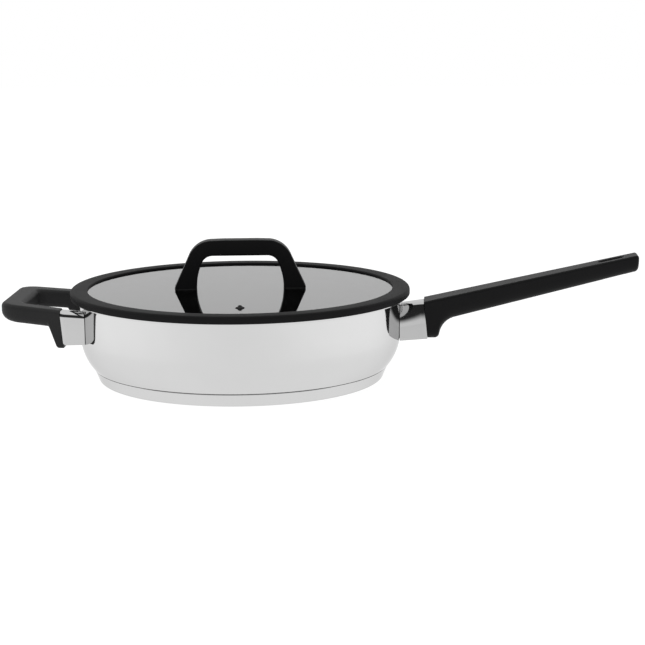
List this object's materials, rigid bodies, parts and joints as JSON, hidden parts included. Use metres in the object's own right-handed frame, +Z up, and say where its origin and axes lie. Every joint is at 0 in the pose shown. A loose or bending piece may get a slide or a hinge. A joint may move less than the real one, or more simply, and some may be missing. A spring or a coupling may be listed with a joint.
{
  "type": "lidded frying pan",
  "caption": "Polished steel frying pan with straight walls, a long black handle, a looped helper handle and a flat glass lid with a black ring and bridge handle.",
  "frame": {"origin": "centre of the base's flat underside, on the worktop", "axes": "+X along the long handle, +Z up, +Y towards the side that faces away in the picture"},
  "size_m": [0.5472, 0.2948, 0.1208],
  "materials": {
    "mirror_steel": "mirror polished stainless steel",
    "satin_steel": "satin, lightly brushed",
    "core_aluminium": "bare, matt",
    "black_phenolic": "fine satin moulded phenolic",
    "black_silicone": "matt silicone",
    "clear_glass": "clear tempered glass with a smoked tint, polished",
    "insert_brass": "turned and knurled",
    "black_rubber": "matt moulded rubber"
  },
  "bodies": {
    "pan": {"pan_shell": "mirror_steel", "base_core": "core_aluminium", "base_cap": "mirror_steel", "handle_bracket": "satin_steel", "handle_sleeve": "mirror_steel", "handle_grip": "black_phenolic", "handle_screw": "satin_steel", "handle_washer": "satin_steel", "helper_bracket_front": "satin_steel", "helper_bracket_rear": "satin_steel", "helper_sleeve_front": "mirror_steel", "helper_sleeve_rear": "mirror_steel", "helper_grip": "black_phenolic", "helper_screws": "satin_steel", "helper_washers": "satin_steel"},
    "lid": {"lid_glass": "clear_glass", "lid_ring": "black_silicone", "lid_bridge": "black_phenolic", "bridge_inserts": "insert_brass", "bridge_pads": "black_rubber", "lid_seals": "black_rubber", "lid_washers": "satin_steel", "lid_screws": "satin_steel", "vent_grommet": "black_rubber"}
  },
  "joints": [
    {"name": "lid_lift", "type": "slide", "parent": "pan", "child": "lid", "axis": [0, 0, 1], "range_m": [0, 0.12]}
  ]
}
